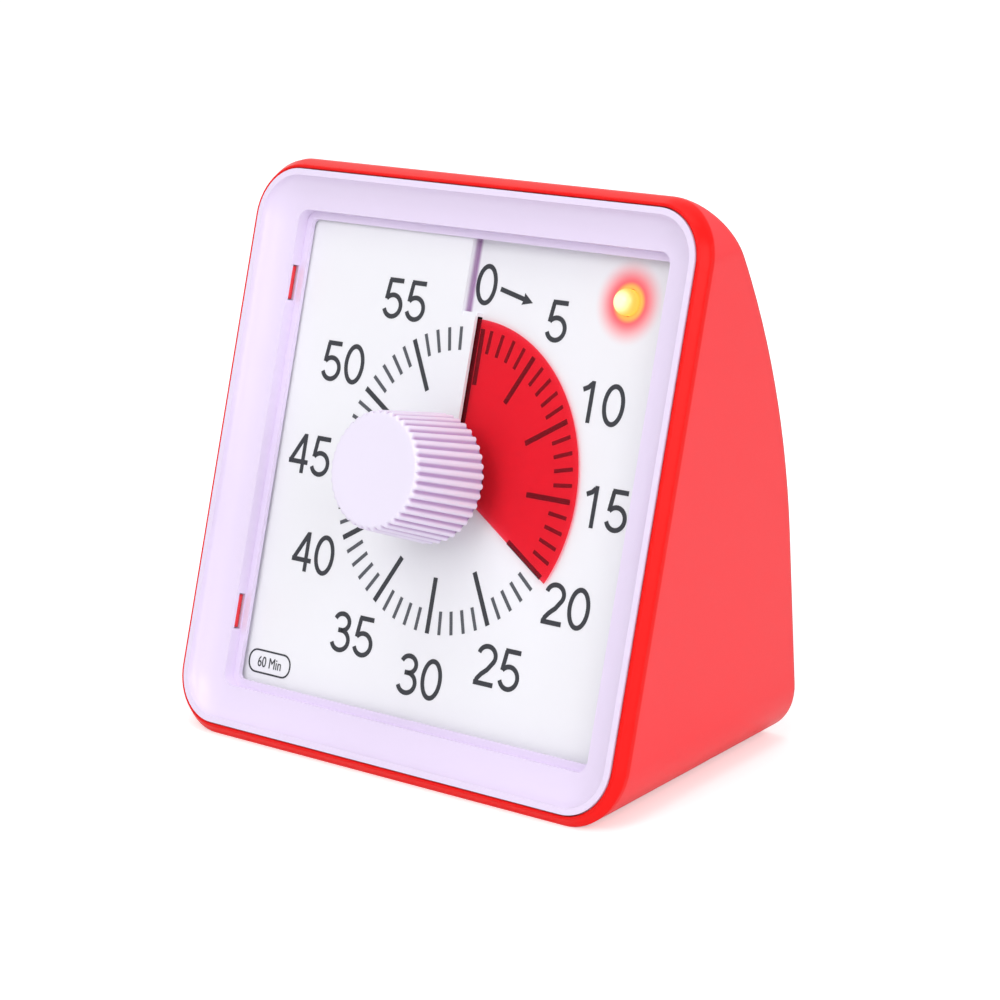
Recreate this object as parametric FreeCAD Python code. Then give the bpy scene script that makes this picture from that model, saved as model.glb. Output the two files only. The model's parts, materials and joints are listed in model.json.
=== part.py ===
import FreeCAD, Part
import math
import os

# Visual countdown timer: a leaning housing, a bezel round a screw-shaped dial, a red film that
# winds out through a slit in the dial, and a ribbed knob that sets it. Millimetres, +Z up,
# the front looks along -Y and the origin is the middle of the base.
# Pieces behind the face are drawn in the face frame: u to the right, v up the face, w out of it.

V = FreeCAD.Vector

# Stance of the face
lean = 20.0
face_w = 5.0
back_depth = 42.15
housing_half_u = 42.5
housing_half_v = 42.1
housing_round = 8.7
wall = 1.8
draft = 0.06
rim_rise = 1.3
rim_chamfer = 1.0
back_straight = 30.0
back_arc_r = 103.0
trim_gap = 0.15

# Bezel
rim_width = 1.5
bezel_front = 6.5
bezel_seat = 3.0
bezel_gap = 0.15
lip_width = 0.9
cove_width_u = 6.0
cove_width_v = 5.6
cove_floor = 4.0
cove_round = 1.8
cove_steps = 8
ledge_width = 1.1
ledge_top = 2.2
window_round = 1.0
skirt_inset = 1.8
skirt_wall = 1.2
skirt_bottom = -1.5
hook_v = 24.25
hook_length = 4.8
hook_barb_low = 2.6
hook_barb_high = 3.4
hook_slot_top = 3.6
hook_bite = 0.3
hook_post_gap = 0.5
hook_post_thick = 1.0
hook_foot_w = -7.0
hook_play = 0.2

# Dial sheet, one turn of a shallow screw surface
rise = 1.47
dial_thick = 0.5
dial_lap_u = 3.6
dial_lap_v = 1.3
dial_round = 5.0
dial_hole_r = 5.4
dial_play = 0.3
sheet_reach = 60.0
jog_u = 2.7
jog_v = 23.2
sheet_gap = 0.1

# Film
film_r = 22.9
film_thick = 0.2
film_minutes = 20.0
hub_r = 4.6
hub_margin = 0.3
hub_joint = 0.02

# Middle frame
frame_front = -1.9
frame_thick = 1.5
frame_inset = 0.2
frame_well_gap = 1.6

# Knob and arbor
knob_low = 4.5
knob_high = 16.9
knob_base_r = 9.2
knob_top_r = 8.3
knob_face_r = 7.6
knob_rim = 0.7
knob_ribs = 40
rib_depth = 0.4
arbor_r = 2.4
arbor_key_r = 2.8
arbor_top_r = 2.0
arbor_top = 13.8
arbor_end_r = 1.5
fit_gap = 0.05
bush_r = 3.4

# Movement
case_low_u = -26.0
case_high_u = 14.0
case_low_v = -14.0
case_high_v = 20.0
case_wall = 1.0
case_depth = 7.2
gear_module = 0.4
wheel_teeth = 60
pinion_teeth = 10
idler_teeth = 50
gear_thick = 1.2
tooth_up = 0.3
tooth_down = 0.42
tooth_half = 0.2
tooth_taper = 0.09
pin_r = 0.75
rotor_shaft_r = 0.6
motor_r = 7.0
motor_thick = 2.5
wheel_drop = 1.9
idler_drop = 2.1
motor_skin = 0.4
magnet_r = 4.0
coil_inner_r = 4.6
washer_r = 5.0
washer_thick = 0.4

# Circuit board
board_case_gap = 2.0
board_edge_gap = 2.7
board_low_v = -16.0
board_front = -4.3
board_thick = 1.0
post_r = 2.0
led_in_u = 7.9
led_in_v = 6.0
led_to_edge = 1.7
led_r = 1.5
led_top = 1.5
led_bottom = -3.2
led_foot_r = 1.75
buzzer_v = 10.0
buzzer_r = 6.0
buzzer_height = 4.5
grille_hole_r = 0.8
grille_z = 46.0

# Screws
screw_r = 0.7
head_r = 1.3
head_thick = 1.0
screw_play = 0.05
frame_screw_in = 1.1
frame_screw_v = 12.0

# Batteries, their bay and its door
cell_r = 5.25
cell_length = 44.5
nub_r = 1.9
nub_length = 0.8
cell_play = 0.4
lower_cell_z = 9.6
upper_cell_z = 20.7
bay_half = 24.6
bay_wall = 1.2
contact_thick = 0.3
contact_width = 6.5
tab_rise = 1.6
door_half = 27.7
door_gap = 0.3
door_thick = 1.6
door_axis_z = 5.2
door_top_z = 27.7
door_pin_r = 0.6
door_pin_length = 1.5

# Sound switch
switch_z = 31.0
switch_travel = 2.0
stem_half = 1.8
stem_half_z = 1.0
slider_half = 3.2
slider_half_z = 1.6
switch_half = 7.0
switch_half_z = 2.0
switch_depth = 2.3
switch_ease = 0.06

# Leads
lead_r = 0.5
lead_lift = 0.6

# Worked out from the values above
bezel_half_u = housing_half_u - rim_width
bezel_half_v = housing_half_v - rim_width
bezel_round = housing_round - rim_width
cove_half_u = bezel_half_u - cove_width_u
cove_half_v = bezel_half_v - cove_width_v
window_half_u = cove_half_u - ledge_width
window_half_v = cove_half_v - ledge_width
dial_half_u = window_half_u + dial_lap_u
dial_half_v = window_half_v + dial_lap_v
skirt_half_u = bezel_half_u - skirt_inset
skirt_half_v = dial_half_v + dial_play + skirt_wall
skirt_round = bezel_round - skirt_inset
hook_post_u = dial_half_u + hook_post_gap
hook_tip_u = cove_half_u + hook_bite
frame_half_u = dial_half_u - frame_inset
frame_half_v = dial_half_v - frame_inset
frame_round = dial_round - frame_inset
frame_well_r = film_r + frame_well_gap
frame_screw_u = frame_half_u - frame_screw_in
led_u = window_half_u - led_in_u
led_v = window_half_v - led_in_v
buzzer_u = led_u
board_low_u = case_high_u + board_case_gap
board_high_u = frame_half_u - board_edge_gap
board_high_v = led_v + led_to_edge
back_y = back_depth / 2
dial_z = housing_half_v * math.cos(math.radians(lean)) - face_w * math.sin(math.radians(lean))
dial_y = -back_y + housing_half_v * math.sin(math.radians(lean)) + face_w * math.cos(math.radians(lean))
FACE = FreeCAD.Placement(V(0, dial_y, dial_z), FreeCAD.Rotation(V(1, 0, 0), 90 - lean))
frame_back = frame_front - frame_thick
cover_back = frame_back - case_wall
case_back = frame_back - case_depth
film_mid = (rise - dial_thick) / 2
wheel_w = cover_back - wheel_drop
idler_w = wheel_w - idler_drop
wheel_r = gear_module * wheel_teeth / 2
pinion_r = gear_module * pinion_teeth / 2
idler_r = gear_module * idler_teeth / 2
idler_u = -(wheel_r + pinion_r)
rotor_v = idler_r + pinion_r
cell_y = back_y - wall - cell_play - cell_r - 0.1
bay_front_y = cell_y - cell_r - cell_play
bay_top_z = upper_cell_z + cell_r + cell_play
bay_low_y = bay_front_y - bay_wall
bay_roof_z = bay_top_z + bay_wall
door_axis_y = back_y - door_thick / 2 - 0.1


def face(shape):
    # Moves a shape from the face frame to where it stands.
    placed = shape.copy()
    placed.Placement = FACE.multiply(placed.Placement)
    return placed


def unface(shape):
    # Moves a shape from where it stands into the face frame.
    placed = shape.copy()
    placed.Placement = FACE.inverse().multiply(placed.Placement)
    return placed


def at(u, v, w):
    # One point of the face frame, where it stands.
    return FACE.multVec(V(u, v, w))


def box(low, high):
    return Part.makeBox(high[0] - low[0], high[1] - low[1], high[2] - low[2], V(*low))


def post(u, v, low, high, radius):
    return Part.makeCylinder(radius, high - low, V(u, v, low))


def rounded(half_u, half_v, radius, w):
    # Outline of a rectangle with round corners, anticlockwise seen from the front.
    edges = []
    corners = [(1, 1), (-1, 1), (-1, -1), (1, -1)]
    points = []
    for sign_u, sign_v in corners:
        centre = V(sign_u * (half_u - radius), sign_v * (half_v - radius), w)
        side = V(sign_u * radius, 0, 0)
        end = V(0, sign_v * radius, 0)
        middle = centre + (side + end).normalize() * radius
        first, last = (side, end) if sign_u * sign_v > 0 else (end, side)
        points.append((centre + first, middle, centre + last))
    for index, (start, middle, end) in enumerate(points):
        edges.append(Part.Arc(start, middle, end).toShape())
        edges.append(Part.LineSegment(end, points[(index + 1) % 4][0]).toShape())
    return Part.Wire(edges)


def slab(half_u, half_v, radius, low, high):
    return Part.Face(rounded(half_u, half_v, radius, low)).extrude(V(0, 0, high - low))


def screw_sheet(inner, outer, start, turn, top, depth):
    # A sheet whose height climbs by rise in each clockwise turn, counted from twelve o'clock.
    height = rise * turn / 360.0
    one = Part.makeHelix(rise, height, inner)
    two = Part.makeHelix(rise, height, outer)
    sheet = Part.makeRuledSurface(one.Edges[0], two.Edges[0])
    sheet = sheet.mirror(V(0, 0, 0), V(1, -1, 0))
    sheet.rotate(V(0, 0, 0), V(0, 0, 1), -start)
    sheet.translate(V(0, 0, top + rise * start / 360.0))
    return sheet.extrude(V(0, 0, -depth))


def hexagon(radius, low, high):
    points = []
    for side in range(7):
        turn = math.radians(60 * side)
        points.append(V(radius * math.cos(turn), radius * math.sin(turn), low))
    return Part.Face(Part.makePolygon(points)).extrude(V(0, 0, high - low))


def gear(u, v, low, high, teeth, phase, bore):
    # Short straight-sided teeth on the pitch circle, one of them pointing at the phase angle.
    pitch = gear_module * teeth / 2
    points = []
    for tooth in range(teeth):
        middle = math.radians(phase + 360.0 * tooth / teeth)
        for radius, half in (
            (pitch - tooth_down, -tooth_half - tooth_taper),
            (pitch + tooth_up, -tooth_half + tooth_taper),
            (pitch + tooth_up, tooth_half - tooth_taper),
            (pitch - tooth_down, tooth_half + tooth_taper),
        ):
            turn = middle + half / radius
            points.append(V(u + radius * math.cos(turn), v + radius * math.sin(turn), low))
    points.append(points[0])
    blank = Part.Face(Part.makePolygon(points)).extrude(V(0, 0, high - low))
    return blank.cut(post(u, v, low - 1, high + 1, bore))


def lead(points, bend):
    # A wire of straight runs with round bends at the points between them.
    edges = []
    start = points[0]
    for before, corner, after in zip(points, points[1:], points[2:]):
        back = (before - corner).normalize()
        ahead = (after - corner).normalize()
        half_turn = (math.pi - back.getAngle(ahead)) / 2
        reach = bend * math.tan(half_turn)
        one = corner + back * reach
        two = corner + ahead * reach
        inward = (back + ahead).normalize()
        middle = corner + inward * (bend / math.cos(half_turn) - bend)
        edges.append(Part.LineSegment(start, one).toShape())
        edges.append(Part.Arc(one, middle, two).toShape())
        start = two
    edges.append(Part.LineSegment(start, points[-1]).toShape())
    path = Part.Wire(edges)
    ring = Part.Wire(Part.makeCircle(lead_r, points[0], points[1] - points[0]))
    return path.makePipeShell([ring], True, False)


def screws(places, seat, tip):
    # Round-headed screws driven forwards, heads behind the seat.
    group = []
    for u, v in places:
        shank = post(u, v, seat, tip, screw_r)
        head = post(u, v, seat - head_thick, seat, head_r)
        slot = box((u - head_r, v - 0.2, seat - head_thick), (u + head_r, v + 0.2, seat - head_thick / 2))
        group.append(shank.fuse(head).removeSplitter().cut(slot))
    return group


def holes(places, low, high):
    return Part.makeCompound([post(u, v, low, high, screw_r + screw_play) for u, v in places])


def frame_screw_places():
    return [(side * frame_screw_u, end * frame_screw_v) for side in (-1, 1) for end in (-1, 1)]


def board_screw_places():
    inset = 2.5
    return [
        (board_low_u + inset, board_low_v + inset),
        (board_high_u - inset, board_low_v + inset),
        (board_low_u + inset, board_high_v - inset),
    ]


def case_screw_places():
    inset = 1.7
    us = (case_low_u + inset, case_high_u - inset)
    vs = (case_low_v + inset, case_high_v - inset)
    return [(u, v) for u in us for v in vs]


def side_profile(shrink, half_width):
    # The housing's side view: flat base, upright lower back and one long arc up to the top edge.
    tilt = math.radians(lean)
    top = dial_z + housing_half_v * math.cos(tilt) + face_w * math.sin(tilt) - shrink
    radius = back_arc_r - shrink
    centre_y = back_y - back_arc_r

    def on_arc(height):
        return V(-half_width, centre_y + math.sqrt(radius ** 2 - (height - back_straight) ** 2), height)

    at_back = on_arc(back_straight)
    at_top = on_arc(top)
    floor = V(-half_width, at_back.y, shrink)
    nose_low = V(-half_width, -back_depth * 2, shrink)
    nose_high = V(-half_width, -back_depth * 2, top)
    outline = Part.Wire([
        Part.Arc(at_back, on_arc((back_straight + top) / 2), at_top).toShape(),
        Part.LineSegment(at_top, nose_high).toShape(),
        Part.LineSegment(nose_high, nose_low).toShape(),
        Part.LineSegment(nose_low, floor).toShape(),
        Part.LineSegment(floor, at_back).toShape(),
    ])
    return Part.Face(outline).extrude(V(2 * half_width, 0, 0))


def body(inset, ahead):
    # The face outline carried straight back along +Y, each side leaning in by the mould's draft.
    length = ahead + back_depth * 1.2
    whole = Part.Face(
        rounded(housing_half_u - inset + draft * ahead, housing_half_v - inset, housing_round - inset, face_w)
    )
    halves = []
    for side in (1, -1):
        ends = sorted((0, side * 2 * housing_half_u))
        keep = box((ends[0], -2 * housing_half_v, face_w - 1), (ends[1], 2 * housing_half_v, face_w + 1))
        half = face(whole.common(keep))
        half.translate(V(0, -ahead, 0))
        halves.append(half.extrude(V(-side * draft * length, length, 0)).Solids[0])
    return halves[0].fuse(halves[1]).removeSplitter()


def room(inset):
    # The hollow of the housing, its walls moved in by the inset.
    return body(inset, back_depth / 2).common(side_profile(inset, housing_half_u + 5))


def rear_housing():
    outer = body(0, 0).common(side_profile(0, housing_half_u + 5))
    low = rounded(housing_half_u, housing_half_v, housing_round, face_w)
    rim_half_u = housing_half_u - rim_chamfer
    rim_half_v = housing_half_v - rim_chamfer
    high = rounded(rim_half_u, rim_half_v, housing_round - rim_chamfer, face_w + rim_rise)
    outer = outer.fuse(face(Part.makeLoft([low, high], True, True)))
    recess = slab(bezel_half_u + bezel_gap, bezel_half_v + bezel_gap, bezel_round + bezel_gap, bezel_seat, 20)
    shell = outer.cut(room(wall)).cut(face(recess))
    shell = shell.fuse([bay_walls()] + hooks() + switch_ribs())
    door_opening = box(
        (-door_half - door_gap, back_y - wall - 0.1, door_axis_z - door_thick / 2 - 0.1 - door_gap),
        (door_half + door_gap, back_y + 1, door_top_z + door_gap),
    )
    slot_half = stem_half + switch_travel + door_gap
    slot = box((-slot_half, back_y - wall - 1, switch_z - 1.2), (slot_half, back_y + 1, switch_z + 1.2))
    cuts = [door_opening, slot, hinge_sockets()] + grille()
    return shell.cut(cuts).removeSplitter()


def bay_walls():
    rear = back_y - wall
    outer_half = bay_half + bay_wall
    front = box((-outer_half, bay_low_y, wall / 2), (outer_half, bay_front_y, bay_roof_z))
    top = box((-outer_half, bay_low_y, bay_top_z), (outer_half, rear - door_gap, bay_roof_z))
    walls = front.fuse(top)
    for side in (-1, 1):
        ends = sorted((side * bay_half, side * outer_half))
        walls = walls.fuse(box((ends[0], bay_low_y, wall / 2), (ends[1], rear - door_gap, bay_roof_z)))
    # Notches in the top let the contact tabs out.
    notch_low = (bay_half - bay_wall, bay_front_y - 0.1, bay_top_z - 0.1)
    notch = box(notch_low, (bay_half, rear - 2, bay_roof_z + 0.1))
    # Ribs under the lower cell keep it off the floor.
    ribs = []
    rib_x = bay_half * 0.57
    rib_top = lower_cell_z - cell_r - 0.1
    for x in (-rib_x, rib_x):
        ribs.append(box((x - 0.6, bay_front_y - 0.5, wall / 2), (x + 0.6, rear - door_gap, rib_top)))
    return walls.cut(notch).fuse(ribs)


def hooks():
    # Four hooks on the side walls reach forward and catch in the bezel.
    found = []
    foot_top = skirt_bottom - 1.7
    for side in (-1, 1):
        for end in (-1, 1):
            v_low = end * hook_v - hook_length / 2
            v_high = end * hook_v + hook_length / 2
            outer_u = hook_post_u + hook_post_thick
            post_part = box((hook_post_u, v_low, hook_foot_w), (outer_u, v_high, hook_barb_high))
            barb = box((hook_tip_u, v_low, hook_barb_low), (outer_u, v_high, hook_barb_high))
            foot = box((hook_post_u, v_low, hook_foot_w), (outer_u + wall + 0.1, v_high, foot_top))
            hook = post_part.fuse([barb, foot])
            if side < 0:
                hook = hook.mirror(V(0, 0, 0), V(1, 0, 0))
            found.append(face(hook))
    return found


def switch_ribs():
    # Two fences above and below hold the sound switch against the back wall.
    rear = back_y - wall
    fences = []
    for side in (-1, 1):
        edge = side * (switch_half_z + 0.1)
        zs = sorted((switch_z + edge, switch_z + edge + side * 0.8))
        fences.append(box((-switch_half, rear - 3.5, zs[0]), (switch_half, rear + wall / 2, zs[1])))
    return fences


def hinge_sockets():
    reach = door_half + door_gap + door_pin_length + 0.2
    return Part.makeCylinder(door_pin_r + 0.06, 2 * reach, V(-reach, door_axis_y, door_axis_z), V(1, 0, 0))


def grille():
    # Sound holes in the curved back, straight behind the buzzer.
    found = []
    for ring, count in ((0, 1), (3.2, 6)):
        for index in range(count):
            turn = 2 * math.pi * index / count
            x = buzzer_u - 2 + ring * math.cos(turn)
            z = grille_z + ring * math.sin(turn)
            found.append(Part.makeCylinder(grille_hole_r, back_depth, V(x, dial_y + 15, z), V(0, 1, 0)))
    return found


def front_bezel():
    ring = slab(bezel_half_u, bezel_half_v, bezel_round, bezel_seat, bezel_front)
    skirt = slab(skirt_half_u, skirt_half_v, skirt_round, skirt_bottom, bezel_seat)
    skirt = skirt.common(unface(room(wall + trim_gap)))
    # The cove drops steeply inside the lip and runs out level, one quarter of an ellipse.
    sections = []
    outer_u = bezel_half_u - lip_width
    outer_v = bezel_half_v - lip_width
    outer_round = bezel_round - lip_width
    for step in range(cove_steps + 1):
        turn = math.pi / 2 * step / cove_steps
        inward = 1 - math.cos(turn)
        half_u = outer_u - (outer_u - cove_half_u) * inward
        half_v = outer_v - (outer_v - cove_half_v) * inward
        radius = outer_round + (cove_round - outer_round) * inward
        height = bezel_front - (bezel_front - cove_floor) * math.sin(turn)
        sections.append(rounded(half_u, half_v, radius, height))
    cove = Part.makeLoft(sections, True, True)
    well = slab(cove_half_u, cove_half_v, cove_round, ledge_top, cove_floor + 0.5)
    window = slab(window_half_u, window_half_v, window_round, skirt_bottom - 1, bezel_front)
    pocket_u = dial_half_u + dial_play
    pocket_v = dial_half_v + dial_play
    pocket = slab(pocket_u, pocket_v, dial_round + dial_play, skirt_bottom - 1, rise + sheet_gap)
    solid = ring.fuse(skirt).cut([cove, well, window, pocket])
    slots = []
    half_slot = hook_length / 2 + hook_play
    for side in (-1, 1):
        for end in (-1, 1):
            v = end * hook_v
            low_v = v - half_slot
            high_v = v + half_slot
            barb_low = (cove_half_u - 1, low_v, hook_barb_low - hook_play)
            barb = box(barb_low, (skirt_half_u, high_v, hook_slot_top))
            way_low = (hook_post_u - hook_play, low_v, skirt_bottom - 1)
            way = box(way_low, (skirt_half_u + 0.1, high_v, hook_slot_top))
            slot = barb.fuse(way)
            if side < 0:
                slot = slot.mirror(V(0, 0, 0), V(1, 0, 0))
            slots.append(slot)
    pilots = holes(frame_screw_places(), skirt_bottom - 1, bezel_seat + 0.2)
    return solid.cut(slots).cut(pilots).removeSplitter()


def dial_plate():
    sheet = screw_sheet(dial_hole_r, sheet_reach, 0, 360, 0, dial_thick)
    sheet = sheet.common(slab(dial_half_u, dial_half_v, dial_round, -3, 4))
    upper = box((-jog_u, jog_v, rise / 2 - 0.1), (0, dial_half_v + 1, 3))
    lower = box((-jog_u - dial_thick, jog_v, -dial_thick), (0.02, dial_half_v, 0))
    step = box((-jog_u - dial_thick, jog_v, -dial_thick), (-jog_u, dial_half_v, rise - dial_thick + 0.2))
    sill = box((-jog_u - dial_thick, jog_v, -dial_thick), (0, jog_v + dial_thick, rise - dial_thick + 0.2))
    plate = sheet.cut(upper).fuse([lower, step, sill])
    plate = plate.cut(post(led_u, led_v, -3, 3, led_foot_r + 0.15))
    return plate.cut(holes(frame_screw_places(), -3, 3)).removeSplitter()


def mid_frame():
    plate = slab(frame_half_u, frame_half_v, frame_round, frame_back, frame_front)
    border = slab(frame_half_u, frame_half_v, frame_round, frame_back, rise)
    border = border.cut(post(0, 0, frame_back - 1, rise + 1, frame_well_r))
    border = border.common(screw_sheet(1, sheet_reach, 0, 360, -dial_thick - sheet_gap, 8))
    relief_low = (-jog_u - dial_thick - dial_play, jog_v - 1, -dial_thick - sheet_gap)
    relief = box(relief_low, (0.1, frame_half_v + 1, 3))
    solid = plate.fuse(border.cut(relief)).common(unface(room(wall + trim_gap)))
    posts = [post(u, v, board_front, frame_back, post_r) for u, v in board_screw_places()]
    solid = solid.fuse(posts)
    cuts = [
        post(0, 0, frame_back - 1, frame_front + 1, bush_r + fit_gap),
        post(led_u, led_v, frame_back - 1, 3, led_foot_r + 0.3),
        holes(frame_screw_places(), frame_back - 1, 3),
        holes(board_screw_places(), board_front - 1, frame_back + 0.5),
        holes(case_screw_places(), frame_back - 1, frame_back + 1.2),
    ]
    return solid.cut(cuts).removeSplitter()


def movement_cover():
    plate = box((case_low_u, case_low_v, cover_back), (case_high_u, case_high_v, frame_back))
    cuts = [
        post(0, 0, cover_back - 1, frame_back + 1, bush_r + fit_gap),
        post(idler_u, 0, cover_back - 1, cover_back + 0.6, pin_r + fit_gap),
        post(idler_u, rotor_v, cover_back - 1, cover_back + 0.6, rotor_shaft_r + fit_gap),
        holes(case_screw_places(), cover_back - 1, frame_back + 1),
    ]
    return plate.cut(cuts)


def movement_case():
    shell = box((case_low_u, case_low_v, case_back), (case_high_u, case_high_v, cover_back))
    room = box(
        (case_low_u + case_wall, case_low_v + case_wall, case_back + case_wall),
        (case_high_u - case_wall, case_high_v - case_wall, cover_back + 1),
    )
    bosses = [post(u, v, case_back, cover_back, screw_r + 0.9) for u, v in case_screw_places()]
    shell = shell.cut(room).fuse(bosses)
    cuts = [
        post(0, 0, case_back + 0.3, cover_back, arbor_end_r + fit_gap),
        post(idler_u, 0, case_back + 0.3, cover_back, pin_r + fit_gap),
        post(idler_u, rotor_v, case_back - 1, cover_back, rotor_shaft_r + 0.6),
        holes(case_screw_places(), case_back - 1, cover_back + 1),
    ]
    return shell.cut(cuts).removeSplitter()


def motor_can():
    can = post(idler_u, rotor_v, case_back - motor_thick, case_back, motor_r)
    room_low = case_back - motor_thick + motor_skin
    room = post(idler_u, rotor_v, room_low, case_back - motor_skin, motor_r - motor_skin)
    way = post(idler_u, rotor_v, case_back - motor_skin - 0.1, case_back + 0.1, rotor_shaft_r + fit_gap)
    return can.cut([room, way])


def motor_coil():
    low = case_back - motor_thick + motor_skin + 0.1
    high = case_back - motor_skin - 0.1
    coil = post(idler_u, rotor_v, low, high, motor_r - motor_skin - 0.1)
    return coil.cut(post(idler_u, rotor_v, low, high, coil_inner_r))


def motor_rotor():
    low = case_back - motor_thick + motor_skin + 0.1
    high = case_back - motor_skin - 0.3
    magnet = post(idler_u, rotor_v, low + 0.2, high, magnet_r)
    shaft = post(idler_u, rotor_v, low, cover_back + 0.4, rotor_shaft_r)
    pinion_high = idler_w + gear_thick + 0.4
    pinion = gear(idler_u, rotor_v, idler_w - 0.4, pinion_high, pinion_teeth, 0, rotor_shaft_r - 0.1)
    return magnet.fuse([shaft, pinion])


def idler_gear():
    pinion = gear(idler_u, 0, wheel_w - 0.4, wheel_w + gear_thick + 0.3, pinion_teeth, 18, pin_r + fit_gap)
    wheel = gear(idler_u, 0, idler_w, idler_w + gear_thick, idler_teeth, 90, pin_r + fit_gap)
    sleeve = post(idler_u, 0, idler_w, wheel_w, pinion_r - tooth_down)
    sleeve = sleeve.cut(post(idler_u, 0, idler_w - 1, wheel_w + 1, pin_r + fit_gap))
    return wheel.fuse([sleeve, pinion])


def idler_pin():
    return post(idler_u, 0, case_back + 0.35, cover_back + 0.55, pin_r)


def drive_wheel():
    return gear(0, 0, wheel_w, wheel_w + gear_thick, wheel_teeth, 0, arbor_r + fit_gap)


def clutch_washer():
    low = wheel_w + gear_thick
    washer = post(0, 0, low, low + washer_thick, washer_r)
    return washer.cut(post(0, 0, low, low + washer_thick, arbor_r + fit_gap))


def shaft_bush():
    tube = post(0, 0, cover_back, frame_front, bush_r)
    return tube.cut(post(0, 0, cover_back - 1, frame_front + 1, arbor_r + fit_gap))


def arbor():
    end = post(0, 0, case_back + 0.4, wheel_w, arbor_end_r)
    shaft = post(0, 0, wheel_w, frame_front + 0.1, arbor_r)
    key = hexagon(arbor_key_r, frame_front + 0.1, knob_low)
    top = post(0, 0, knob_low, arbor_top, arbor_top_r)
    return end.fuse([shaft, key, top])


def knob():
    # A star-shaped cone whose points are the ribs, turned down to the knob's outline.
    rings = []
    for height, radius in ((knob_low, knob_base_r), (knob_high, knob_top_r)):
        points = []
        for index in range(2 * knob_ribs):
            turn = math.pi * index / knob_ribs
            reach = radius - rib_depth * (index % 2)
            points.append(V(reach * math.cos(turn), reach * math.sin(turn), height))
        points.append(points[0])
        rings.append(Part.makePolygon(points))
    star = Part.makeLoft(rings, True, True)
    outline = [
        V(0, 0, knob_low),
        V(knob_base_r + 1, 0, knob_low),
        V(knob_top_r + 1, 0, knob_high - knob_rim - 1),
        V(knob_top_r, 0, knob_high - knob_rim),
        V(knob_face_r, 0, knob_high),
        V(0, 0, knob_high),
        V(0, 0, knob_low),
    ]
    turned = Part.Face(Part.makePolygon(outline)).revolve(V(0, 0, 0), V(0, 0, 1), 360)
    bore = post(0, 0, knob_low - 1, arbor_top + 0.2, arbor_top_r + fit_gap)
    return star.common(turned).cut(bore)


def film_start():
    return film_minutes * 6.0 - 360.0


def red_film():
    top = film_mid + film_thick / 2
    sheet = screw_sheet(hub_r / 2, sheet_reach, film_start(), 360, top, film_thick)
    disc = post(0, 0, -2 * rise, 2 * rise, film_r)
    return sheet.common(disc.cut(post(0, 0, -3 * rise, 3 * rise, hub_r + hub_joint)))


def film_hub():
    low = rise * film_start() / 360.0 + film_mid - film_thick / 2 - hub_margin
    high = low + rise + film_thick + 2 * hub_margin
    return post(0, 0, low, high, hub_r).cut(hexagon(arbor_key_r + 2 * fit_gap, low - 1, high + 1))


def circuit_board():
    back = board_front - board_thick
    plate = box((board_low_u, board_low_v, back), (board_high_u, board_high_v, board_front))
    return plate.cut(holes(board_screw_places(), board_front - board_thick - 1, board_front + 1))


def on_board(u, v, half_u, half_v, height):
    # A block soldered to the back of the board.
    back = board_front - board_thick
    return box((u - half_u, v - half_v, back - height), (u + half_u, v + half_v, back))


def controller_chip():
    middle_u = (board_low_u + board_high_u) / 2 + 1.75
    middle_v = -3.5
    package = on_board(middle_u, middle_v, 4.5, 3.0, 1.4)
    legs = []
    pitch = 1.2
    for side in (-1, 1):
        for index in range(-3, 4):
            legs.append(on_board(middle_u + pitch * index, middle_v + side * 3.5, 0.25, 0.5, 0.5))
    return package.fuse(legs)


def timing_crystal():
    radius = 1.0
    start = V(board_low_u + 3.0, -1.0, board_front - board_thick - radius)
    return Part.makeCylinder(radius, 6.0, start, V(0, 1, 0))


def board_passives():
    # Small chips beside the controller and the buzzer, placed from the board's long edges.
    low, high = board_low_u, board_high_u
    places = [
        (low + 3.0, 9.5), (high - 2.5, 2.5), (high - 2.5, 5.0), (low + 6.0, 19.5), (high - 5.5, 19.5),
        (high - 5.5, 23.0), (low + 10.0, -11.5),
    ]
    return [on_board(u, v, 0.9, 0.6, 0.7) for u, v in places]


def led_lens():
    # A round-nosed lens turned from its half section.
    foot_top = led_bottom + 0.8
    corners = [
        V(0, 0, led_bottom),
        V(led_foot_r, 0, led_bottom),
        V(led_foot_r, 0, foot_top),
        V(led_r, 0, foot_top),
        V(led_r, 0, led_top),
    ]
    crown = V(0, 0, led_top + led_r)
    shoulder = V(led_r * math.sqrt(0.5), 0, led_top + led_r * math.sqrt(0.5))
    edges = [Part.LineSegment(one, two).toShape() for one, two in zip(corners, corners[1:])]
    edges.append(Part.Arc(corners[-1], shoulder, crown).toShape())
    edges.append(Part.LineSegment(crown, corners[0]).toShape())
    lens = Part.Face(Part.Wire(edges)).revolve(V(0, 0, 0), V(0, 0, 1), 360)
    lens.translate(V(led_u, led_v, 0))
    return lens


def led_leads():
    legs = []
    for side in (-1, 1):
        u = led_u + side * 0.7
        legs.append(box((u - 0.2, led_v - 0.2, board_front), (u + 0.2, led_v + 0.2, led_bottom)))
    return legs


def buzzer_shell():
    back = board_front - board_thick
    shell = post(buzzer_u, buzzer_v, back - buzzer_height, back, buzzer_r)
    room = post(buzzer_u, buzzer_v, back - buzzer_height + 0.8, back, buzzer_r - 0.8)
    port = post(buzzer_u, buzzer_v, back - buzzer_height - 1, back, 1.2)
    return shell.cut([room, port])


def buzzer_disc():
    back = board_front - board_thick
    return post(buzzer_u, buzzer_v, back - 2.4, back, buzzer_r - 0.9)


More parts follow.
